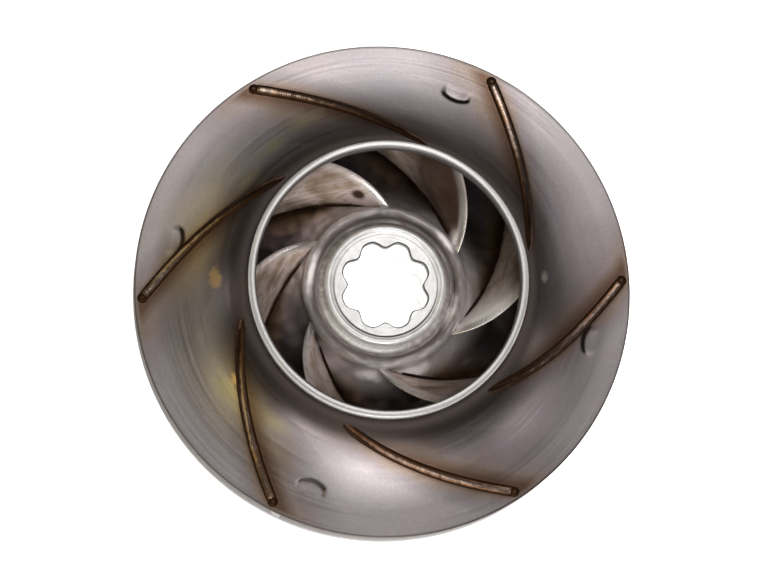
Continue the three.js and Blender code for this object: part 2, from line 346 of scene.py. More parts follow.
PLATE_STRAW = (0.50, 0.40, 0.27, 1)
PLATE_VIOLET = (0.36, 0.30, 0.34, 1)
SCALE_BROWN = (0.045, 0.022, 0.012, 1)
PLATE_WAVE = 100.0
WAVE_FADE = (0.030, 0.040)
MATT_FADE = (0.0235, 0.0285)
SHOULDER_FADE = (0.0225, 0.0270)
GROOVE_SHADE_FADE = (0.0194, 0.0209)
RIM_LIGHT_FADE = (0.0608, 0.0622)
RIM_PAINTED_LIGHT = (0.62, 0.60, 0.59, 1)
# Painted highlights: bright spots on the shoulder and the cone, made less metallic so they stay bright.
GLINT_BRIGHT = (0.95, 0.88, 0.87, 1)
GLINT_SPOTS = [
    (0.0194, 170, 0.0013, 0.0075), (0.0226, -98, 0.0019, 0.0048), (0.0226, -71, 0.0018, 0.0070),
    (0.0187, -21, 0.0012, 0.0060), (0.0203, 38, 0.0012, 0.0045)]
# Painted shade: dark spots on the front of the plate round the eye.
SPOT_SHADE_GREY = (0.07, 0.06, 0.055, 1)
SHADED_SPOTS = [(0.0275, 78, 0.0085, 0.0170), (0.0275, 35, 0.0070, 0.0120), (0.0225, 205, 0.0040, 0.0120)]


def bezier(a, b, c, d, count):
    """Points of a cubic curve, without its first one."""
    t = np.linspace(0, 1, count + 1)[1:, None]
    a, b, c, d = (np.array(p) for p in (a, b, c, d))
    return ((1 - t) ** 3 * a + 3 * t * (1 - t) ** 2 * b + 3 * t * t * (1 - t) * c + t ** 3 * d).tolist()


def straight(a, b, count):
    """Points of a straight stretch, without its first one."""
    return np.linspace(a, b, count + 1)[1:].tolist()


def beside(points, distance):
    """A profile moved sideways: to the left of its direction where the distance is positive."""
    points = np.array(points)
    along = np.gradient(points, axis=0)
    along /= np.linalg.norm(along, axis=1)[:, None]
    return points + distance * np.column_stack([-along[:, 1], along[:, 0]])


def plate_front():
    """The back plate's front face, from the rim to the foot of the shoulder."""
    flat_end = (PLATE_FLAT, PLATE_FRONT)
    points = [(RIM, PLATE_FRONT)] + straight((RIM, PLATE_FRONT), flat_end, 24)
    cone_end = (CONE_TOP, SHOULDER_TOP - SHOULDER_ROUND)
    return points + bezier(
        flat_end, (PLATE_FLAT - PLATE_EASE, PLATE_FRONT),
        (CONE_TOP + CONE_LEAN, cone_end[1] - CONE_DROP), cone_end, 56)


def blade_angle(radius, edge):
    """The angle between a vane and the rings. An edge is its radius and its angle at the eye."""
    eye_radius, eye_angle = edge
    return eye_angle + (RIM_BLADE_ANGLE - eye_angle) * (radius - eye_radius) / (RIM - eye_radius)


def blade_turn(points, edge):
    """How far a vane's edge has turned round the axis at each point of a profile, rim first."""
    points = np.array(points)
    steps = np.linalg.norm(np.diff(points, axis=0), axis=1)
    radii = (points[1:, 0] + points[:-1, 0]) / 2
    return -np.concatenate([[0], np.cumsum(steps / (radii * np.tan(blade_angle(radii, edge))))])


def polar(mesh):
    """The radius of each vertex and its turn round the axis."""
    place = np.array([v.co for v in mesh.vertices])
    return np.hypot(place[:, 0], place[:, 1]), np.arctan2(place[:, 1], place[:, 0])


def wrapped(turn, span=2 * math.pi):
    """A turn taken to the like one nearest to 0, where all is alike again after the span."""
    return (turn + span / 2) % span - span / 2


def note_seams(mesh, points, edge, inner):
    """Stores on each vertex how far it lies from the nearest seam, in metres, as seam_gap.

    The inner end may be one radius or one for each vertex. The heat spread further on one side,
    where the gap is counted short."""
    points = np.array(points)
    turns = blade_turn(points, edge)
    radius, turn = polar(mesh)
    own = np.interp(radius, points[::-1, 0], turns[::-1])
    off = wrapped(turn - FIRST_VANE - own, 2 * math.pi / VANES)
    beyond = np.maximum(radius - SEAM_OUTER, 0) + np.maximum(inner - radius, 0)
    counted = np.where(off > 0, HEAT_WIDE_SIDE, HEAT_NARROW_SIDE)
    aside = off * radius * np.sin(blade_angle(radius, edge)) * counted
    note(mesh, "seam_gap", np.hypot(aside, 2 * beyond))


def note_spots(mesh, name, spots, spotted_side):
    """Stores on each vertex how near it lies to a spot: 1 in its middle, 0 at its edge, -1 far off.

    Each spot is its radius and its turn in degrees, and how far it reaches outward and round the
    axis. The spots lie on one side of the sheet only, where spotted_side is true."""
    radius, turn = polar(mesh)
    near = np.full(len(radius), -1.0)
    for spot_radius, spot_turn, outward, sideways in spots:
        off = wrapped(turn - math.radians(spot_turn))
        gap = np.hypot((radius - spot_radius) / outward, off * spot_radius / sideways)
        near = np.maximum(near, 1 - gap)
    near[~spotted_side] = -1
    note(mesh, name, near)


def stray(tree, value, cloud, low, high):
    """A value made uneven: soft noise adds between low and high to it."""
    return worked(tree, "ADD", value, spread(tree, cloud, low, high))


def heat_tinted(tree, place, plain, straw, violet, brown, reach):
    """Steel coloured by the heat of the seams: brown beside them, then straw, then a little violet."""
    gap = noted(tree, "seam_gap")
    wandering = stray(tree, gap, noise(tree, place, 90), -0.15 * reach, 0.25 * reach)
    far = mixed(tree, ranged(tree, wandering, 0.9 * reach, 1.6 * reach), violet, plain)
    near = mixed(tree, ranged(tree, wandering, 0.35 * reach, 0.9 * reach), straw, far)
    near = mixed(tree, ranged(tree, wandering, 0.0, 0.9 * reach, 0.5, 1.0), brown, near)
    return mixed(tree, ranged(tree, gap, *TOE_FADE, 0.25, 1.0), brown, near)


shoulder_middle = (CONE_TOP - SHOULDER_ROUND, SHOULDER_TOP - SHOULDER_ROUND)
groove_floor = SHOULDER_TOP - GROOVE_DEPTH
front = plate_front()
rear = beside(front, SHEET).tolist()
rim_middle = (PLATE_FRONT + PLATE_REAR) / 2
plate_rings = [
    *arc((RIM - RIM_ROUND, PLATE_REAR + RIM_ROUND), RIM_ROUND, -90, 0, RIM_ROUND_STEPS),
    (RIM, rim_middle),
    *arc((RIM - RIM_ROUND, PLATE_FRONT - RIM_ROUND), RIM_ROUND, 0, 90, RIM_ROUND_STEPS),
    *front[1:],
    *arc(shoulder_middle, SHOULDER_ROUND, 12, 168, 14),
    *[(GROOVE_RADIUS + outward, groove_floor + up) for outward, up in GROOVE_FOOT],
    (HUB_RADIUS, groove_floor),
    (HUB_RADIUS, groove_floor - SHEET),
    (GROOVE_RADIUS, groove_floor - SHEET),
    *rear[::-1][:-1],
]
plate = skin("back_plate_sheet", plate_rings, ROUND_STEPS)
on_front = np.arange(len(plate_rings)) <= plate_rings.index((HUB_RADIUS, groove_floor))
on_front[:RIM_ROUND_STEPS - 1] = False
on_front = np.repeat(on_front, ROUND_STEPS)
note_seams(plate.data, front, PLATE_EDGE, np.where(on_front, ROOT_INNER, BACK_SEAM_INNER))
note_spots(plate.data, "painted_glint", GLINT_SPOTS, on_front)
note_spots(plate.data, "painted_shade", SHADED_SPOTS, on_front)
note(plate.data, "front_side", on_front)

material, tree, shader, place = bare_steel("drawn back plate steel", 0.36, brushed=0.35)
lines = lathe_lines(tree, place, 0.00025)
radius = distance_from_axis(tree, place)
cloud = noise(tree, place, 70)
plain = mixed(tree, spread(tree, cloud), PLATE_COLOUR, PLATE_LIGHT)
tinted = heat_tinted(tree, place, plain, PLATE_STRAW, PLATE_VIOLET, SCALE_BROWN, PLATE_HEAT)
strayed = worked(tree, "ADD", radius, ranged(tree, cloud, 0.2, 0.8, -PLATE_STRAY, PLATE_STRAY))
colour = mixed(tree, ranged(tree, strayed, *SHOULDER_FADE), SHOULDER_COLOUR, tinted)
# Painted shade: the groove and the inner slope of the shoulder are coloured darker.
colour = mixed(tree, ranged(tree, strayed, *GROOVE_SHADE_FADE), GROOVE_SHADE_COLOUR, colour)
# Painted shade spots.
colour = mixed(tree, ranged(tree, noted(tree, "painted_shade"), 0.0, 0.6, 0.0, 0.75), colour, SPOT_SHADE_GREY)
# Painted highlight spots, bright and less metallic.
streaky = stray(tree, noted(tree, "painted_glint"), noise(tree, place, 300), -0.2, 0.2)
colour = mixed(tree, ranged(tree, streaky, 0.0, 0.8, 0.0, 0.9), colour, GLINT_BRIGHT)
front_side = noted(tree, "front_side")
# Painted light: the outermost strip of the plate's front, seen through the outlet, is coloured light and made
# less metallic.
at_rim = ranged(tree, radius, *RIM_LIGHT_FADE, 0.0, front_side)
colour = mixed(tree, ranged(tree, at_rim, 0.0, 1.0, 0.0, 0.85), colour, RIM_PAINTED_LIGHT)
metal = ranged(tree, radius, *MATT_FADE, 0.7, ranged(tree, at_rim, 0.0, 1.0, 1.0, 0.4))
metal = ranged(tree, streaky, 0.0, 0.8, metal, 0.3)
coat(tree, shader, colour, spread(tree, lines, 0.34, 0.46), metal)
deepest = ranged(tree, front_side, 0.0, 1.0, 0.0, PLATE_WAVE)
deep = ranged(tree, radius, *WAVE_FADE, deepest, 0.0)
wavy = worked(tree, "MULTIPLY_ADD", noise(tree, place, 150, detail=1), deep, lines)
bumped(tree, shader, wavy, 0.00002)
place_piece(plate, material, "back_plate_steel", "back_plate")


# Ring weld: one bead run round the hub in the groove of the back plate, with the ripples of the
# torch on it. One side of it, towards +X and +Y, is painted dark as shade, and the other side is painted
# light.
RING_BEAD_WIDTH = 0.0016
RING_BEAD_HEIGHT = 0.0009
RING_SUNK = 0.0001
RING_ROOT = (-0.0004, -0.0003)
RING_RIPPLE = 0.00006
RING_RIPPLES = 90
RING_STEPS = 720
RING_SHADED_SIDE = (0.5, 0.87, 0)
RING_SHADE_FADE = (-0.004, 0.016)
RING_LIGHT_FADE = (-0.017, -0.010)
WELD_BROWN = (0.42, 0.37, 0.35, 1)
WELD_GOLD = (0.80, 0.75, 0.73, 1)
WELD_PAINTED_SHADE = (0.13, 0.10, 0.09, 1)
WELD_PAINTED_LIGHT = (0.95, 0.92, 0.90, 1)

ring_turns = np.linspace(0, 2 * math.pi, RING_STEPS, endpoint=False)
ripple = RING_RIPPLE * (ring_turns * RING_RIPPLES / (2 * math.pi) % 1)
across = np.radians(np.linspace(-20, 110, 10))
ring_rings = [
    (HUB_RADIUS - RING_SUNK + (RING_BEAD_WIDTH + ripple) * math.cos(a),
     groove_floor - RING_SUNK + (RING_BEAD_HEIGHT + ripple) * math.sin(a))
    for a in across
]
ring_rings.append((HUB_RADIUS + RING_ROOT[0], groove_floor + RING_ROOT[1]))
hub_bead = skin("hub_ring_weld", ring_rings, RING_STEPS)

material, tree, shader, place = bare_steel("scaled weld", 0.4, metal=0.5)
scale = noise(tree, place, 500, detail=4)
colour = mixed(tree, ranged(tree, scale, 0.45, 0.75), WELD_BROWN, WELD_GOLD)
toward = wire(
    tree, "ShaderNodeVectorMath", {0: place, 1: RING_SHADED_SIDE}, operation="DOT_PRODUCT").outputs["Value"]
# Painted shade on one side of the ring, painted light on the other.
colour = mixed(tree, ranged(tree, toward, *RING_SHADE_FADE, 0.0, 0.7), colour, WELD_PAINTED_SHADE)
colour = mixed(tree, ranged(tree, toward, *RING_LIGHT_FADE, 0.9, 0.0), colour, WELD_PAINTED_LIGHT)
coat(tree, shader, colour)
bumped(tree, shader, scale, 0.00003)
place_piece(hub_bead, material, "weld", "hub_weld")


# Vanes: six alike, cut from 1.5 mm stainless sheet and twisted between the back plate and the
# shroud. They lie flatter to the rings towards the eye, and their front edges are ground round.
SHROUD_SLOPE = math.radians(4)
RIM_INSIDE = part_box("front_shroud")[0].z
FLARE_RADIUS = 0.061
FLARE_EASE = 0.013
FLARE_DROP = 0.008
COLLAR_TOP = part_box("front_shroud")[1].z
NECK_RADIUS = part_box("neck_ring")[1].x
NECK_WALL = 0.002
COLLAR_STEP = 0.0002
COLLAR_INSIDE = NECK_RADIUS - NECK_WALL + COLLAR_STEP
SHROUD_EDGE = (COLLAR_INSIDE, math.radians(24))
VANE_TOP = 0.0245
VANE_TIP = 0.0157
VANE_STATIONS = 96
VANE_ROWS = 16
VANE_NOSE = 0.0011
VANE_NOSE_STATIONS = 7
VANE_NOSE_LEAST = 0.02
VANE_END_GAP = 0.0003
VANE_SUNK = 0.0003
VANE_COLOUR = (0.70, 0.575, 0.545, 1)
VANE_DARK = (0.22, 0.16, 0.145, 1)
VANE_BRONZE = (0.46, 0.345, 0.26, 1)
VANE_STEEL = (0.50, 0.47, 0.46, 1)
VANE_SCALE_AND_SHADE = (0.06, 0.030, 0.018, 1)
CUT_EDGE_AND_GLINT = (0.92, 0.86, 0.83, 1)
VANE_SHADE_PLACE = (0.0125, 0.0250, 0.020)
VANE_SHADE_FADE = (0.010, 0.018)
VANE_GLINT_PLACES = [
    ((0.0255, -0.0075, 0.020), 0.013), ((0.0172, 0.0118, 0.0165), 0.0045),
    ((0.0183, -0.0112, 0.0157), 0.0055)]
BURNT_PLACE = (-0.0067, 0.0248, 0.0160)
BURNT_FADE = (0.0012, 0.0024)
OUTLET_FADE = (0.038, 0.046)


def shroud_inside():
    """The shroud's inner face, from the rim up the flare to the top of its collar."""
    flare_start = (FLARE_RADIUS, RIM_INSIDE + (RIM - FLARE_RADIUS) * math.tan(SHROUD_SLOPE))
    points = [(RIM, RIM_INSIDE)] + straight((RIM, RIM_INSIDE), flare_start, 14)
    ease = (FLARE_RADIUS - FLARE_EASE, flare_start[1] + FLARE_EASE * math.tan(SHROUD_SLOPE))
    return points + bezier(
        flare_start, ease, (COLLAR_INSIDE, COLLAR_TOP - FLARE_DROP), (COLLAR_INSIDE, COLLAR_TOP), 82)


def blade_line(points, edge, top, sunk):
    """A vane's edge on a profile: radius, turn and height at even steps from the rim up to a height."""
    points = beside(points, sunk)
    turns = blade_turn(points, edge)
    run = np.concatenate([[0], np.cumsum(np.linalg.norm(np.diff(points, axis=0), axis=1))])
    end = np.interp(top, points[:, 1], run)
    nose = end - VANE_NOSE * (1 - np.sin(np.linspace(0, math.pi / 2, VANE_NOSE_STATIONS + 1)[1:]))
    even = np.concatenate([np.linspace(VANE_END_GAP, end - VANE_NOSE, VANE_STATIONS + 1), nose])
    return np.column_stack([np.interp(even, run, column) for column in (points[:, 0], turns, points[:, 1])])


def vane_grid(side):
    """One face of the vane at the angle 0, as a grid of points from rim to eye and from foot to head."""
    foot = blade_line(plate_front(), PLATE_EDGE, VANE_TIP, VANE_SUNK)
    head = blade_line(shroud_inside(), SHROUD_EDGE, VANE_TOP, -VANE_SUNK)
    share = np.linspace(0, 1, VANE_ROWS + 1)[None, :, None]
    radius, turn, height = np.moveaxis(foot[:, None] * (1 - share) + head[:, None] * share, -1, 0)
    middle = np.stack([radius * np.cos(turn), radius * np.sin(turn), height], -1)
    normal = np.cross(np.gradient(middle, axis=0), np.gradient(middle, axis=1))
    normal /= np.linalg.norm(normal, axis=-1)[..., None]
    round_way = np.stack([-np.sin(turn), np.cos(turn), np.zeros_like(turn)], -1)
    lean = np.abs(np.sum(normal * round_way, -1))
    thickness = np.ones(len(turn))
    over_nose = np.linspace(0, math.pi / 2, VANE_NOSE_STATIONS + 1)[1:]
    thickness[-VANE_NOSE_STATIONS:] = np.cos(over_nose) + VANE_NOSE_LEAST
    turn = turn + side * thickness[:, None] * SHEET / 2 / (radius * lean)
    return np.stack([radius * np.cos(turn), radius * np.sin(turn), height], -1)


def sheet_between(name, lower, upper):
    """A closed mesh between two like grids of points, with walls round its four sides."""
    stations, rows = lower.shape[:2]
    count = stations * rows
    low = np.arange(count).reshape(stations, rows)
    high = low + count
    faces = []

    def strip(a, b, c, d):
        faces.extend(np.stack([a, b, c, d], -1).reshape(-1, 4).tolist())

    strip(low[:-1, :-1], low[:-1, 1:], low[1:, 1:], low[1:, :-1])
    strip(high[:-1, :-1], high[1:, :-1], high[1:, 1:], high[:-1, 1:])
    strip(low[:-1, 0], low[1:, 0], high[1:, 0], high[:-1, 0])
    strip(low[:-1, -1], high[:-1, -1], high[1:, -1], low[1:, -1])
    strip(low[0, :-1], high[0, :-1], high[0, 1:], low[0, 1:])
    strip(low[-1, :-1], low[-1, 1:], high[-1, 1:], high[-1, :-1])
    mesh = bpy.data.meshes.new(name)
    mesh.from_pydata(np.concatenate([lower.reshape(-1, 3), upper.reshape(-1, 3)]).tolist(), [], faces)
    layer = mesh.uv_layers.new(name="around")
    corners = np.array([loop.vertex_index for loop in mesh.loops]) % count
    layer.data.foreach_set("uv", np.column_stack([corners // rows, corners % rows]).astype(float).reshape(-1))
    return stand(name, mesh)


def new_tree(name, *inputs):
    """A geometry tree with a geometry input and output and the named inputs, each (name, kind)."""
    tree = bpy.data.node_groups.new(name, "GeometryNodeTree")
    tree.interface.new_socket("Geometry", in_out="INPUT", socket_type="NodeSocketGeometry")
    for label, kind in inputs:
        tree.interface.new_socket(label, in_out="INPUT", socket_type="NodeSocket" + kind)
    tree.interface.new_socket("Geometry", in_out="OUTPUT", socket_type="NodeSocketGeometry")
    given = wire(tree, "NodeGroupInput").outputs
    return tree, given


def end_tree(tree, geometry, material):
    """Ends a geometry tree with plain mesh that has the material."""
    plain = wire(tree, "GeometryNodeRealizeInstances", {0: geometry}).outputs[0]
    dressed = wire(tree, "GeometryNodeSetMaterial", {"Geometry": plain, "Material": material}).outputs[0]
    wire(tree, "NodeGroupOutput", {0: dressed})


def grown(piece, tree, **values):
    """Runs a geometry tree on a piece, with values for its named inputs, and keeps the plain mesh."""
    modifier = piece.modifiers.new(tree.name, "NODES")
    modifier.node_group = tree
    for item in tree.interface.items_tree:
        if item.in_out == "INPUT" and item.name in values:
            modifier[item.identifier] = values[item.name]
    evaluated = piece.evaluated_get(bpy.context.evaluated_depsgraph_get())
    mesh = bpy.data.meshes.new_from_object(evaluated)
    piece.modifiers.clear()
    old = piece.data
    piece.data = mesh
    bpy.data.meshes.remove(old)


def gap_to(tree, place, middle):
    """How far a place lies from another."""
    return wire(tree, "ShaderNodeVectorMath", {0: place, 1: middle}, operation="DISTANCE").outputs["Value"]


def numbered(name):
    """The names of the like parts, one for each vane."""
    return [f"{name}_{i + 1}" for i in range(VANES)]


vane_material, tree, shader, place = bare_steel("vane sheet steel", 0.4, brushed=0.5)
own_place = wire(tree, "ShaderNodeUVMap", uv_map="around").outputs[0]
grain_place = wire(tree, "ShaderNodeMapping", {"Vector": own_place, "Scale": (0.05, 1, 1)}).outputs[0]
grain = noise(tree, grain_place, 1.6, detail=5)
cloud = mixed(tree, 0.35, noise(tree, place, 75), noise(tree, grain_place, 0.5))
colour = ramp(
    tree, ranged(tree, cloud, 0.38, 0.60),
    (0.0, VANE_DARK), (0.35, VANE_BRONZE), (0.6, VANE_COLOUR), (0.8, VANE_BRONZE), (1.0, VANE_COLOUR))
station = coordinate(tree, own_place, "X")
row = coordinate(tree, own_place, "Y")
from_foot = stray(tree, row, cloud, -1.0, 1.0)
colour = mixed(tree, ranged(tree, from_foot, 0.2, 1.5), VANE_SCALE_AND_SHADE, colour)
# Darker towards the heads: heat scale from the shroud seams and painted shade under the shroud.
colour = mixed(tree, ranged(tree, from_foot, VANE_ROWS * 0.35, VANE_ROWS, 0.0, 0.65), colour, VANE_SCALE_AND_SHADE)
# Painted shade: the vanes round one place on the +Y side of the eye are coloured dark.
vane_shade = ranged(tree, gap_to(tree, place, VANE_SHADE_PLACE), *VANE_SHADE_FADE, 0.9, 0.0)
colour = mixed(tree, vane_shade, colour, VANE_SCALE_AND_SHADE)
# Painted highlights: bright patches on the vanes, made less metallic so they stay bright.
glint = 0.0
for middle, reach in VANE_GLINT_PLACES:
    near = ranged(tree, gap_to(tree, place, middle), reach * 0.3, reach, 0.95, 0.0)
    glint = worked(tree, "MAXIMUM", glint, near)
colour = mixed(tree, glint, colour, CUT_EDGE_AND_GLINT)
burnt = ranged(tree, gap_to(tree, place, BURNT_PLACE), *BURNT_FADE, 1.0, 0.0)
colour = mixed(tree, burnt, colour, VANE_SCALE_AND_SHADE)
# The ground noses are bright bare edge and painted highlight; the painted highlight fades towards the heads.
toward_head = ranged(tree, row, VANE_ROWS * 0.2, VANE_ROWS * 0.7, 1.0, 0.25)
nose = ranged(tree, station, VANE_STATIONS + 2, VANE_STATIONS + 5, 0.0, toward_head)
colour = mixed(tree, nose, colour, CUT_EDGE_AND_GLINT)
outlet = ranged(tree, distance_from_axis(tree, place), *OUTLET_FADE)
colour = mixed(tree, outlet, colour, VANE_STEEL)
metal = ranged(tree, outlet, 0.0, 1.0, ranged(tree, glint, 0.0, 0.95, 0.5, 0.1), 0.9)
metal = ranged(tree, nose, 0.0, 1.0, metal, 0.95)
rough = ranged(tree, nose, 0.0, 1.0, spread(tree, grain, 0.28, 0.46), 0.22)
coat(tree, shader, colour, rough, metal)
bumped(tree, shader, grain, 0.00003)

tree, given = new_tree(
    "vanes round the axis", ("Count", "Int"), ("First Angle", "Float"), ("Material", "Material"))
points = wire(tree, "GeometryNodePoints", {"Count": given["Count"]}).outputs[0]
index = wire(tree, "GeometryNodeInputIndex").outputs[0]
step = worked(tree, "DIVIDE", 2 * math.pi, given["Count"])
turn = worked(tree, "MULTIPLY_ADD", index, step, given["First Angle"])
spun = wire(tree, "ShaderNodeCombineXYZ", {"Z": turn}).outputs[0]
copies = wire(
    tree, "GeometryNodeInstanceOnPoints",
    {"Points": points, "Instance": given["Geometry"], "Rotation": spun}).outputs[0]
end_tree(tree, copies, given["Material"])

vanes = sheet_between("vane_set", vane_grid(-1), vane_grid(1))
grown(vanes, tree, Count=VANES, **{"First Angle": FIRST_VANE, "Material": vane_material})
vanes.data.shade_smooth()
vanes.data.set_sharp_from_angle(angle=math.radians(45))
place_piece(vanes, vane_material, "vane_steel", *numbered("vane"))


# Front shroud: one pressed disc of 1.5 mm stainless sheet, flared up to a short collar. The heat
# of the six seams has tinted it. Four shallow half moons are pressed in near the rim.
MARK_RADIUS = 0.0552
MARK_REACH = 0.006
MARKS = [(69.7, 1.0), (167.7, 0.45), (-109.7, 1.0), (-13.4, 0.45)]
MARK_HALF = 0.0034
MARK_DEPTH = 0.0005
MARK_RUN = 0.0031
MARK_BEND = 0.0011
MARK_END = 1.15
MARK_END_FADE = 0.3
MARK_WALL = 0.0004
STEP_HALF = 0.0009
STEP_END = 1.2
STEP_END_FADE = 0.2
SHROUD_STEPS = 600
FRONT_SEAM_INNER = 0.0382
# Tack spots, partly tack welds and partly painted reflections of a warm lamp.
TACKS_AND_GLINTS = [(0.0441, 178, 0.0021, 0.0042), (0.0460, 213, 0.0013, 0.0022), (0.0417, 4, 0.0014, 0.0021)]
# Painted reflections of a warm lamp, as olive patches on the shroud's outer face.
WARM_REFLECTIONS = [
    (0.0452, 142, 0.0024, 0.0075), (0.0470, 129, 0.0024, 0.0085), (0.0488, 116, 0.0024, 0.0075),
    (0.0492, 214, 0.0032, 0.0080), (0.0458, 232, 0.0026, 0.0060)]
WARM_REFLECTION_TINT = (0.60, 0.53, 0.31, 1)
TACK_GOLD = (0.86, 0.56, 0.27, 1)
TACK_PALE = (0.80, 0.70, 0.64, 1)
SHROUD_COLOUR = (0.58, 0.525, 0.54, 1)
SHROUD_WARM = (0.62, 0.552, 0.545, 1)
SHROUD_STRAW = (0.52, 0.415, 0.335, 1)
SHROUD_VIOLET = (0.47, 0.41, 0.42, 1)
SHROUD_BROWN = (0.15, 0.072, 0.042, 1)
NECK_SCALE_AND_SHADE = (0.10, 0.078, 0.068, 1)
SHROUD_HEAT = 0.006
TACK_SPLIT = 0.01
NECK_FADE = (0.0400, 0.0480)
RIM_FADE = (0.0643, 0.0647)
MARK_SHADE = (0.035, 0.027, 0.024, 1)


def press_marks(mesh):
    """Presses the half moons into the outer face: steep towards the axis, running out to the rim.

    Stores how much each vertex lies in the steep step, as mark_step."""
    steps = np.zeros(len(mesh.vertices))
    for vertex in mesh.vertices:
        x, y, z = vertex.co
        radius = math.hypot(x, y)
        mid_sheet = RIM_INSIDE + SHEET / 2 + (RIM - radius) * math.tan(SHROUD_SLOPE)
        if abs(radius - MARK_RADIUS) > MARK_REACH or z < mid_sheet:
            continue
        for turn, strength in MARKS:
            side = wrapped(math.atan2(y, x) - math.radians(turn)) * radius / MARK_HALF
            if abs(side) > STEP_END:
                continue
            edge = MARK_RADIUS - MARK_RUN / 2 + MARK_BEND * side * side
            into = (radius - edge) / MARK_RUN
            wall = min(max((radius - edge) / MARK_WALL, 0), 1)
            fade = max(1 - into, 0) * min(max((MARK_END - abs(side)) / MARK_END_FADE, 0), 1)
            vertex.co.z -= MARK_DEPTH * strength * wall * wall * (3 - 2 * wall) * fade
            from_step = abs(radius - edge - MARK_WALL / 4) / STEP_HALF
            steps[vertex.index] = max(1 - from_step, 0) * min((STEP_END - abs(side)) / STEP_END_FADE, 1)
    note(mesh, "mark_step", steps)


inside = shroud_inside()
outside = beside(inside, -SHEET).tolist()
outside[0] = [RIM, RIM_INSIDE + SHEET / math.cos(SHROUD_SLOPE)]
outside[-1] = [COLLAR_INSIDE + SHEET, COLLAR_TOP]
rim_top = outside[0][1]
outer_face = [
    *arc((RIM - RIM_ROUND, rim_top - RIM_ROUND), RIM_ROUND, 0, 90, RIM_ROUND_STEPS),
    *outside[1:],
]
shroud_rings = [
    *arc((RIM - RIM_ROUND, RIM_INSIDE + RIM_ROUND), RIM_ROUND, -90, 0, RIM_ROUND_STEPS),
    *outer_face,
    *inside[::-1][::2],
]
shroud = skin("front_shroud_sheet", shroud_rings, SHROUD_STEPS)
press_marks(shroud.data)
note_seams(shroud.data, inside, SHROUD_EDGE, FRONT_SEAM_INNER)
on_outside = np.arange(len(shroud_rings)) < len(shroud_rings) - len(inside[::2])
on_outside = np.repeat(on_outside, SHROUD_STEPS)
note_spots(shroud.data, "tack_and_glint", TACKS_AND_GLINTS, on_outside)
note_spots(shroud.data, "painted_reflection", WARM_REFLECTIONS, on_outside)

material, tree, shader, place = bare_steel("pressed shroud steel", 0.34, brushed=0.45)
lines = lathe_lines(tree, place, 0.0003)
radius = distance_from_axis(tree, place)
cloud = noise(tree, place, 45)
plain = mixed(tree, ranged(tree, cloud, 0.35, 0.65), SHROUD_COLOUR, SHROUD_WARM)
tinted = heat_tinted(tree, place, plain, SHROUD_STRAW, SHROUD_VIOLET, SHROUD_BROWN, SHROUD_HEAT)
# Darker towards the neck: heat scale and painted shade of the steep flare.
colour = mixed(tree, ranged(tree, radius, *NECK_FADE), NECK_SCALE_AND_SHADE, tinted)
# Painted shade: a thin band at the very rim is coloured dark.
colour = mixed(tree, ranged(tree, radius, *RIM_FADE, 0.0, 0.75), colour, NECK_SCALE_AND_SHADE)
# Painted reflections of a warm lamp.
painted_reflection = stray(tree, noted(tree, "painted_reflection"), noise(tree, place, 150), -0.3, 0.2)
colour = mixed(tree, ranged(tree, painted_reflection, 0.0, 0.9, 0.0, 0.6), colour, WARM_REFLECTION_TINT)
speckle = spread(tree, noise(tree, place, 1400, detail=2), 0.94, 1.06)
colour = wire(tree, "ShaderNodeVectorMath", {0: colour, "Scale": speckle}, operation="SCALE").outputs[0]
# Tack spots and painted reflections: gold on the -X side, pale on the +X side.
to_right = coordinate(tree, place, "X")
tack_colour = mixed(tree, ranged(tree, to_right, -TACK_SPLIT, TACK_SPLIT), TACK_GOLD, TACK_PALE)
tack_and_glint = stray(tree, noted(tree, "tack_and_glint"), noise(tree, place, 500), -0.3, 0.3)
colour = mixed(tree, ranged(tree, tack_and_glint, 0.10, 0.65, 0.0, 0.85), colour, tack_colour)
colour = mixed(tree, ranged(tree, noted(tree, "mark_step"), 0.0, 0.6, 0.0, 0.96), colour, MARK_SHADE)
coat(tree, shader, colour, spread(tree, lines, 0.28, 0.42))
bumped(tree, shader, lines, 0.00001)
place_piece(shroud, material, "shroud_steel", "front_shroud")


# Neck ring: a turned stainless ring on the collar of the shroud. It runs in the seal ring of the
# pump, so its front face and its outer wall are bright, with fine tool marks round them.
NECK_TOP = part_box("neck_ring")[1].z
NECK_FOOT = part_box("neck_ring")[0].z
NECK_INSIDE = NECK_RADIUS - NECK_WALL
NECK_CHAMFER = 0.0004
NECK_GROOVE = 0.00025
NECK_GROOVE_TOP = 0.0005
NECK_STEPS = 480
NECK_BRIGHT = (0.78, 0.76, 0.745, 1)
NECK_GREY = (0.58, 0.555, 0.54, 1)
NECK_EDGE_SHADE = (0.17, 0.155, 0.15, 1)
NECK_EDGE_SHADE_FADE = (NECK_INSIDE + 0.0003, NECK_INSIDE + 0.0007)

neck_rings = [
    (NECK_INSIDE, NECK_FOOT),
    (NECK_RADIUS - NECK_GROOVE, NECK_FOOT),
    (NECK_RADIUS - NECK_GROOVE, NECK_FOOT + NECK_GROOVE_TOP * 0.4),
    (NECK_RADIUS, NECK_FOOT + NECK_GROOVE_TOP),
    (NECK_RADIUS, NECK_TOP - NECK_CHAMFER),
    (NECK_RADIUS - NECK_CHAMFER * 0.25, NECK_TOP - NECK_CHAMFER * 0.6),
    (NECK_RADIUS - NECK_CHAMFER * 0.6, NECK_TOP - NECK_CHAMFER * 0.2),
    (NECK_RADIUS - NECK_CHAMFER, NECK_TOP),
    (NECK_INSIDE + NECK_CHAMFER, NECK_TOP),
    (NECK_INSIDE + NECK_CHAMFER * 0.4, NECK_TOP - NECK_CHAMFER * 0.2),
    (NECK_INSIDE, NECK_TOP - NECK_CHAMFER * 0.7),
]
neck = skin("turned_neck_ring", neck_rings, NECK_STEPS)

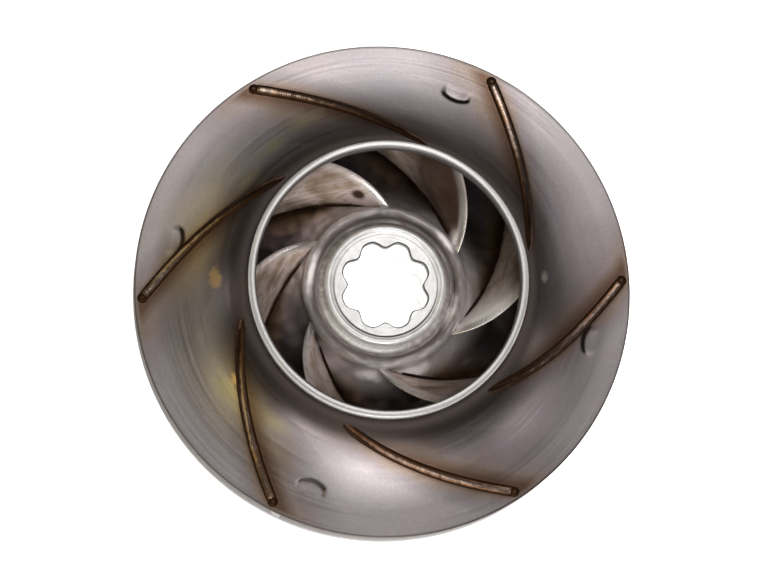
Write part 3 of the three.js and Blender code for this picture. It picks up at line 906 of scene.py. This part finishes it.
material, tree, shader, place = bare_steel("turned neck steel", 0.28, brushed=0.5, metal=0.7)
lines = lathe_lines(tree, place, 0.0001)
radius = distance_from_axis(tree, place)
colour = mixed(tree, spread(tree, lines), NECK_GREY, NECK_BRIGHT)
# Painted shade: the inner edge of the ring's front face is coloured dark.
colour = mixed(tree, ranged(tree, radius, *NECK_EDGE_SHADE_FADE), NECK_EDGE_SHADE, colour)
coat(tree, shader, colour, spread(tree, lines, 0.2, 0.32))
bumped(tree, shader, lines, 0.00002)
place_piece(neck, material, "turned_steel", "neck_ring")


# Seams: the vanes are welded through both sheets, so each shows as a low bead that follows the
# vane, sunk into the sheet, with brown scale at its toes, a golden crown and an end crater.
BEAD_WIDTH = 0.0028
BEAD_HEIGHT = 0.0005
BEAD_RIPPLE = 0.00065
BEAD_SIDES = 20
STEPS_PER_RIPPLE = 5.0
RIPPLE_SHARE = 0.035
LUMP_SCALE = 380.0
LUMP_SHARE = 0.6
START_RUN = 0.03
START_SUNK = 0.7
END_RUN = 0.07
END_SUNK = 1.1
CRATER_HIGH = 1.1
CRATER_WIDE = 0.98
BEAD_CRATER = 1.0
FRONT_SEED = 3.0
BACK_SEED = 11.0
TOE_BROWN = (0.06, 0.028, 0.014, 1)
CROWN_BROWN = (0.20, 0.125, 0.085, 1)
CROWN_GOLD = (0.33, 0.185, 0.105, 1)
CROWN_SILVER = (0.38, 0.27, 0.21, 1)
CREST_HIGHLIGHT = (0.86, 0.70, 0.60, 1)
CROWN_BURNT_FADE = (0.042, 0.057)
CREST_HIGHLIGHT_TO_RIGHT = (-0.01, 0.03)


def seam_lines(name, points, edge, inner, outward, beside_it=0.0):
    """Six seams on a profile as lines of vertices, each with the direction out of the sheet."""
    points = np.array(points)
    turns = blade_turn(points, edge)
    turns += beside_it / (points[:, 0] * np.sin(blade_angle(points[:, 0], edge)))
    keep = (points[:, 0] >= inner) & (points[:, 0] <= SEAM_OUTER)
    along = np.gradient(points, axis=0)
    along /= np.linalg.norm(along, axis=1)[:, None]
    side = outward * np.column_stack([along[:, 1], -along[:, 0]])
    places, normals, edges = [], [], []
    for i in range(VANES):
        angle = FIRST_VANE + 2 * math.pi * i / VANES + turns[keep]
        start = len(places)
        for (radius, height), (out, up), a in zip(points[keep], side[keep], angle):
            places.append((radius * math.cos(a), radius * math.sin(a), height))
            normals.append((out * math.cos(a), out * math.sin(a), up))
        edges += [(k, k + 1) for k in range(start, len(places) - 1)]
    mesh = bpy.data.meshes.new(name)
    mesh.from_pydata(places, edges, [])
    stored = mesh.attributes.new("out", "FLOAT_VECTOR", "POINT")
    stored.data.foreach_set("vector", np.array(normals).reshape(-1))
    return stand(name, mesh)


def write_on(tree, geometry, name, value):
    """Stores a number on the points of a geometry, under a name."""
    return wire(
        tree, "GeometryNodeStoreNamedAttribute", {"Geometry": geometry, "Name": name, "Value": value},
        data_type="FLOAT", domain="POINT").outputs[0]


def read_back(tree, name, kind="FLOAT"):
    """What was stored on the points under a name."""
    return wire(tree, "GeometryNodeInputNamedAttribute", {"Name": name}, data_type=kind).outputs[0]


weld_material, tree, shader, place = bare_steel("tinted weld bead", 0.3)
toe = worked(tree, "ABSOLUTE", noted(tree, "across"))
crown = ramp(
    tree, spread(tree, noise(tree, place, 90)),
    (0.0, CROWN_BROWN), (0.45, CROWN_GOLD), (0.75, CROWN_SILVER), (1.0, CROWN_BROWN))
wandering = stray(tree, toe, noise(tree, place, 500, detail=2), -0.08, 0.08)
# Painted highlight along the middle of the bead, stronger on the +X side.
painted_glint = ranged(tree, coordinate(tree, place, "X"), *CREST_HIGHLIGHT_TO_RIGHT, 0.4, 0.85)
crown = mixed(tree, ranged(tree, wandering, 0.06, 0.27, painted_glint, 0.0), crown, CREST_HIGHLIGHT)
burnt = ranged(tree, distance_from_axis(tree, place), *CROWN_BURNT_FADE, 0.92, 0.0)
crown = mixed(tree, burnt, crown, TOE_BROWN)
colour = mixed(tree, ranged(tree, wandering, 0.38, 0.66), crown, TOE_BROWN)
coat(tree, shader, colour, ranged(tree, wandering, 0.3, 0.7, 0.26, 0.55))

seam_tree, given = new_tree(
    "weld seam", ("Width", "Float"), ("Height", "Float"), ("Ripple", "Float"), ("Crater", "Float"),
    ("Seed", "Float"), ("Material", "Material"))
tree = seam_tree
spot = wire(tree, "GeometryNodeInputPosition").outputs[0]
out = read_back(tree, "out", "FLOAT_VECTOR")
rail = wire(tree, "GeometryNodeMeshToCurve", {0: given["Geometry"]}).outputs[0]
spacing = worked(tree, "DIVIDE", given["Ripple"], STEPS_PER_RIPPLE)
rail = wire(tree, "GeometryNodeResampleCurve", {"Curve": rail, "Length": spacing}, mode="LENGTH").outputs[0]
rail = wire(tree, "GeometryNodeSetCurveNormal", {"Curve": rail, "Normal": out}, mode="FREE").outputs[0]
spline = wire(tree, "GeometryNodeSplineParameter").outputs
rail = write_on(tree, rail, "run", spline["Length"])
rail = write_on(tree, rail, "share", spline["Factor"])
circle = {"Resolution": BEAD_SIDES, "Radius": 1.0}
section = wire(tree, "GeometryNodeCurvePrimitiveCircle", circle).outputs[0]
section = write_on(tree, section, "across", coordinate(tree, spot, "Y"))
half = worked(tree, "MULTIPLY", given["Width"], 0.5)
size = wire(tree, "ShaderNodeCombineXYZ", {"X": given["Height"], "Y": half, "Z": 1.0}).outputs[0]
section = wire(tree, "GeometryNodeTransform", {"Geometry": section, "Scale": size}).outputs[0]
bead = wire(
    tree, "GeometryNodeCurveToMesh", {"Curve": rail, "Profile Curve": section, "Fill Caps": True}).outputs[0]
beat = worked(tree, "FRACT", worked(tree, "DIVIDE", read_back(tree, "run"), given["Ripple"]))
ripple = worked(tree, "MULTIPLY", worked(tree, "MULTIPLY", beat, given["Height"]), RIPPLE_SHARE)
lumps = wire(
    tree, "ShaderNodeTexNoise", {"Vector": spot, "W": given["Seed"], "Scale": LUMP_SCALE, "Detail": 2.0},
    noise_dimensions="4D").outputs[0]
lumps = worked(tree, "SUBTRACT", lumps, 0.5)
lump_height = worked(tree, "MULTIPLY", given["Height"], LUMP_SHARE)
lift = worked(tree, "MULTIPLY_ADD", lumps, lump_height, ripple)
share = read_back(tree, "share")
end_sunk = ranged(tree, share, 1 - END_RUN, 1.0, 0.0, -END_SUNK)
start_sunk = ranged(tree, share, 0.0, START_RUN, -START_SUNK, 0.0)
lift = worked(tree, "MULTIPLY_ADD", worked(tree, "ADD", end_sunk, start_sunk), given["Height"], lift)
shift = wire(tree, "ShaderNodeVectorMath", {0: out, "Scale": lift}, operation="SCALE").outputs[0]
bead = wire(tree, "GeometryNodeSetPosition", {"Geometry": bead, "Offset": shift}).outputs[0]
ends = wire(tree, "GeometryNodeCurveEndpointSelection", {"Start Size": 1, "End Size": 0}).outputs[0]
drop = wire(tree, "GeometryNodeMeshIcoSphere", {"Radius": 1.0, "Subdivisions": 4}).outputs[0]
from_middle = distance_from_axis(tree, spot, square_to=(0, 1, 1))
drop = write_on(tree, drop, "across", ranged(tree, from_middle, 0.0, 1.0, 0.5, 1.0))
facing = wire(tree, "FunctionNodeAlignRotationToVector", {"Vector": out}, axis="X").outputs[0]
crater_high = worked(tree, "MULTIPLY", given["Height"], CRATER_HIGH)
crater_wide = worked(tree, "MULTIPLY", half, CRATER_WIDE)
drop_size = wire(tree, "ShaderNodeCombineXYZ", {"X": crater_high, "Y": crater_wide, "Z": half}).outputs[0]
drop_size = wire(
    tree, "ShaderNodeVectorMath", {0: drop_size, "Scale": given["Crater"]}, operation="SCALE").outputs[0]
craters = wire(
    tree, "GeometryNodeInstanceOnPoints",
    {"Points": rail, "Selection": ends, "Instance": drop, "Rotation": facing, "Scale": drop_size}).outputs[0]
joined = wire(tree, "GeometryNodeJoinGeometry")
tree.links.new(bead, joined.inputs[0])
tree.links.new(craters, joined.inputs[0])
end_tree(tree, joined.outputs[0], given["Material"])


def run_seams(lines, width, height, crater, seed, material, *nodes):
    """Grows lines into beads and gives them their material and their place."""
    grown(lines, seam_tree, Width=width, Height=height, Ripple=BEAD_RIPPLE, Crater=crater, Seed=seed,
          Material=material)
    lines.data.shade_smooth()
    place_piece(lines, material, "weld", *nodes)


outer_profile = beside(shroud_inside(), -SHEET)
front_seams = seam_lines("front_seams", outer_profile, SHROUD_EDGE, FRONT_SEAM_INNER, 1)
run_seams(
    front_seams, BEAD_WIDTH, BEAD_HEIGHT, BEAD_CRATER, FRONT_SEED, weld_material, *numbered("front_weld"))
rear_profile = beside(plate_front(), SHEET)
back_seams = seam_lines("back_seams", rear_profile, PLATE_EDGE, BACK_SEAM_INNER, -1)
run_seams(
    back_seams, BEAD_WIDTH, BEAD_HEIGHT, BEAD_CRATER, BACK_SEED, weld_material, *numbered("back_weld"))


# Root lines: the seams go right through the back plate, and inside they leave a thin dark line of
# burnt metal on both sides of the foot of each vane.
ROOT_WIDTH = 0.0009
ROOT_HEIGHT = 0.00035
ROOT_OUTSIDE = 0.2
ROOT_CRATER = 0.7
ROOT_SEED = 21.0
ROOT_BROWN = (0.09, 0.055, 0.038, 1)

root_material, tree, shader, place = bare_steel("dark root scale", 0.5)
scale = noise(tree, place, 400)
coat(tree, shader, mixed(tree, ranged(tree, scale, 0.35, 0.7), TOE_BROWN, ROOT_BROWN))

for name, side in (("leading_root_lines", 1), ("trailing_root_lines", -1)):
    beside_foot = side * (SHEET / 2 + ROOT_WIDTH * ROOT_OUTSIDE)
    roots = seam_lines(name, plate_front(), PLATE_EDGE, ROOT_INNER, 1, beside_foot)
    run_seams(roots, ROOT_WIDTH, ROOT_HEIGHT, ROOT_CRATER, ROOT_SEED + side, root_material)


# Floor, light and camera: a pale table, bright panels beyond the impeller and before it, and nothing
# to mirror right over it, so that the steep steel near the eye mirrors the dark. Weak tinted panels
# stand at the corners, small lamps low at both sides, and two lamps light without being mirrored.
CAMERA_TURN = math.radians(-27)
CAMERA_RISE = math.radians(79.5)
CAMERA_DISTANCE = 0.98
PICTURE_HEIGHT = 0.150
PICTURE_SHAPE = 768 / 576
FLOOR_HALF = 3.0
FLOOR_GAP = 0.00005
BORE_GLOW_FADE = (0.014, 0.016)
ROOM_DIM = (0.06, 0.058, 0.058, 1)
ROOM_SEEN = (0.9, 0.9, 0.9, 1)

floor_mesh = bpy.data.meshes.new("table_top")
corners = [(FLOOR_HALF * x, FLOOR_HALF * y, 0) for x, y in ((-1, -1), (1, -1), (1, 1), (-1, 1))]
floor_mesh.from_pydata(corners, [], [(0, 1, 2, 3)])
floor_mesh.transform(Matrix.Translation((0, 0, cad_low.z - FLOOR_GAP)))
floor = stand("table_top", floor_mesh)
paper = bpy.data.materials.new("white table")
paper.use_nodes = True
tree = paper.node_tree
shader = tree.nodes["Principled BSDF"]
shader.inputs["Base Color"].default_value = (0.85, 0.85, 0.85, 1)
shader.inputs["Roughness"].default_value = 0.9
shader.inputs["Emission Color"].default_value = (1, 1, 1, 1)
seen = wire(tree, "ShaderNodeLightPath").outputs["Is Camera Ray"]
place = object_place(tree)
# Under the bore the table glows for every ray, as a hidden lamp that lights the bore wall.
under_bore = ranged(tree, distance_from_axis(tree, place), *BORE_GLOW_FADE, 0.9, 0.05)
glow = worked(tree, "MAXIMUM", seen, under_bore)
tree.links.new(glow, shader.inputs["Emission Strength"])
floor_mesh.materials.append(paper)


def soft_box(name, place, size, radiance, colour=(1, 1, 1), down=False, mirrored=True):
    """A rectangular soft box that faces the impeller, or straight down. One that is not mirrored
    lights the steel and isn't seen in it."""
    data = bpy.data.lights.new(name, "AREA")
    data.shape = "RECTANGLE"
    data.size, data.size_y = size
    data.energy = radiance * math.pi * size[0] * size[1]
    data.color = colour
    lamp = stand(name, data)
    lamp.visible_glossy = mirrored
    lamp.location = place
    lamp.rotation_mode = "QUATERNION"
    faces = Vector((place[0], place[1], 0)) if down else Vector((0, 0, 0))
    lamp.rotation_quaternion = (faces - Vector(place)).to_track_quat("-Z", "Y")


soft_box("far_panel", (0.11, 0.53, 1.2), (0.44, 0.70), 2.2, down=True)
soft_box("far_corner", (0.40, 0.72, 1.2), (0.15, 0.36), 2.0, down=True)
soft_box("near_panel", (0.13, -1.10, 1.2), (0.55, 1.2), 2.0, down=True)
soft_box("front_fill", (-0.25, -1.10, 0.82), (1.1, 0.42), 2.7)
soft_box("far_left", (-0.78, 0.52, 1.2), (0.50, 0.40), 1.2, colour=(1.0, 0.90, 0.45), down=True)
soft_box("near_left", (-0.85, -0.50, 1.2), (0.45, 0.40), 2.2, colour=(1.0, 0.91, 0.48), down=True)
soft_box("far_right", (0.80, 0.42, 1.2), (0.45, 0.40), 0.9, colour=(1.0, 0.90, 0.95), down=True)
soft_box("near_right", (0.85, -0.45, 1.2), (0.45, 0.40), 1.0, colour=(1.0, 0.90, 0.95), down=True)
soft_box("left_glow", (-1.1, 0.0, 0.85), (0.5, 0.25), 0.25, colour=(1.0, 0.90, 0.60))
soft_box("left_lamp", (-1.2, 0.1, 0.38), (0.25, 0.12), 5.0)
soft_box("right_lamp", (1.2, -0.25, 0.38), (0.25, 0.12), 5.0)
soft_box("top_light", (0.20, -0.20, 1.05), (0.4, 0.4), 14.0, mirrored=False)
soft_box("outlet_light", (0.05, -1.0, 0.48), (0.5, 0.3), 16.0, mirrored=False)

world = bpy.data.worlds.new("room")
bpy.context.scene.world = world
world.use_nodes = True
tree = world.node_tree
background = tree.nodes["Background"]
seen = wire(tree, "ShaderNodeLightPath").outputs["Is Camera Ray"]
tree.links.new(mixed(tree, seen, ROOM_DIM, ROOM_SEEN), background.inputs["Color"])

middle = (cad_low + cad_high) / 2
back = Vector((
    math.sin(CAMERA_TURN) * math.cos(CAMERA_RISE),
    -math.cos(CAMERA_TURN) * math.cos(CAMERA_RISE),
    math.sin(CAMERA_RISE)))
right = (-back).cross(Vector((0, 1, 0))).normalized()
up = right.cross(-back)
camera_data = bpy.data.cameras.new("camera")
camera_data.sensor_width = 36
camera_data.lens = 36 * CAMERA_DISTANCE / (PICTURE_HEIGHT * PICTURE_SHAPE)
camera = stand("camera", camera_data)
camera.matrix_world = Matrix.Translation(middle + back * CAMERA_DISTANCE) @ Matrix(
    (right, up, back)).transposed().to_4x4()
bpy.context.scene.camera = camera
bpy.context.scene.view_settings.view_transform = "Standard"
